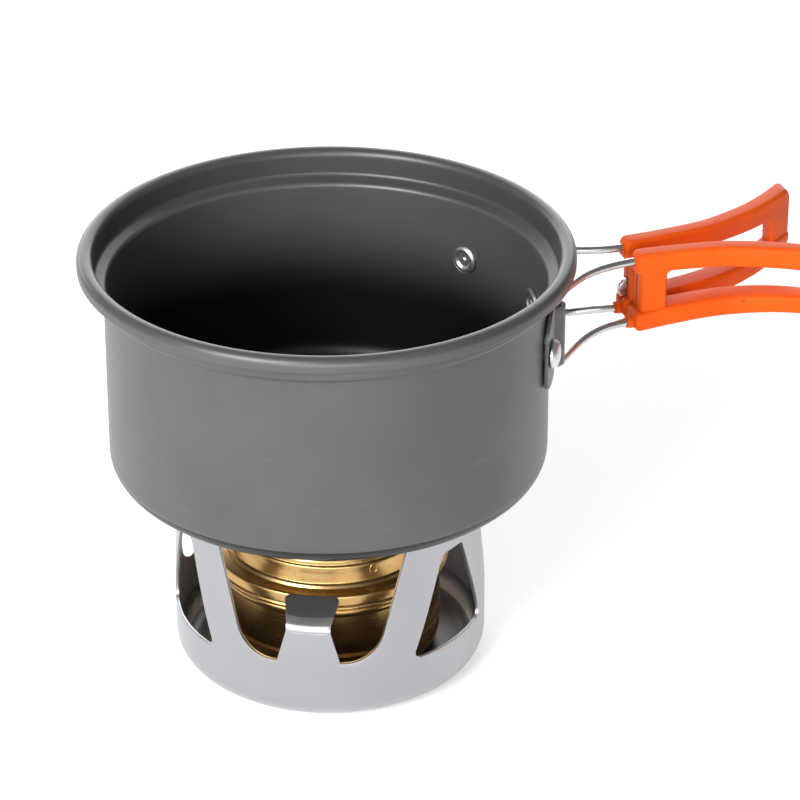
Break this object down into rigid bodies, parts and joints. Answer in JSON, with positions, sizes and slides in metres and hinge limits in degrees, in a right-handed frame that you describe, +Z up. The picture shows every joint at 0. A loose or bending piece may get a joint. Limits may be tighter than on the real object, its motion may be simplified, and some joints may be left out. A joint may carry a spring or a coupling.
{
  "type": "spirit stove set",
  "caption": "Brass spirit burner in a windowed metal stand, carrying a rimmed pot with two folding wire handles in moulded orange grips.",
  "frame": {"origin": "centre of the stand's flat underside", "axes": "+Z up along the stand, burner and pot axis; +X along the middle plane between the two handles, away from the pot; +Y to the far handle's side"},
  "size_m": [0.2312, 0.146, 0.1347],
  "materials": {
    "stand_metal": "satin",
    "brass": "polished",
    "pot_metal": "grey hard-anodised",
    "strap_metal": "dark satin",
    "rivet_metal": "polished",
    "wire_steel": "polished",
    "wick_cotton": "matt fibre",
    "grip_silicone": "smooth moulded"
  },
  "bodies": {
    "stand": {"stand_shell": "stand_metal"},
    "burner": {"burner_bowl": "brass", "burner_collar": "brass", "burner_sleeve": "brass", "burner_wick": "wick_cotton"},
    "pot": {"pot_shell": "pot_metal", "handle_strap": "strap_metal", "rivet_near": "rivet_metal", "rivet_centre": "rivet_metal", "rivet_far": "rivet_metal"},
    "near_handle": {"wire_near": "wire_steel", "grip_near": "grip_silicone"},
    "far_handle": {"wire_far": "wire_steel", "grip_far": "grip_silicone", "latch_tongue": "wire_steel"}
  },
  "joints": [
    {"name": "burner_lift", "type": "slide", "parent": "stand", "child": "burner", "axis": [0, 0, 1], "range_m": [0, 0.07]},
    {"name": "pot_lift", "type": "slide", "parent": "burner", "child": "pot", "axis": [0, 0, 1], "range_m": [0, 0.08]},
    {"name": "near_handle_fold", "type": "hinge", "parent": "pot", "child": "near_handle", "pos_m": [0.0644, -0.0201, 0.1064], "axis": [0, 0, 1], "range_deg": [-130, 0]},
    {"name": "far_handle_fold", "type": "hinge", "parent": "pot", "child": "far_handle", "pos_m": [0.0644, 0.0201, 0.1064], "axis": [0, 0, 1], "range_deg": [0, 130]}
  ]
}
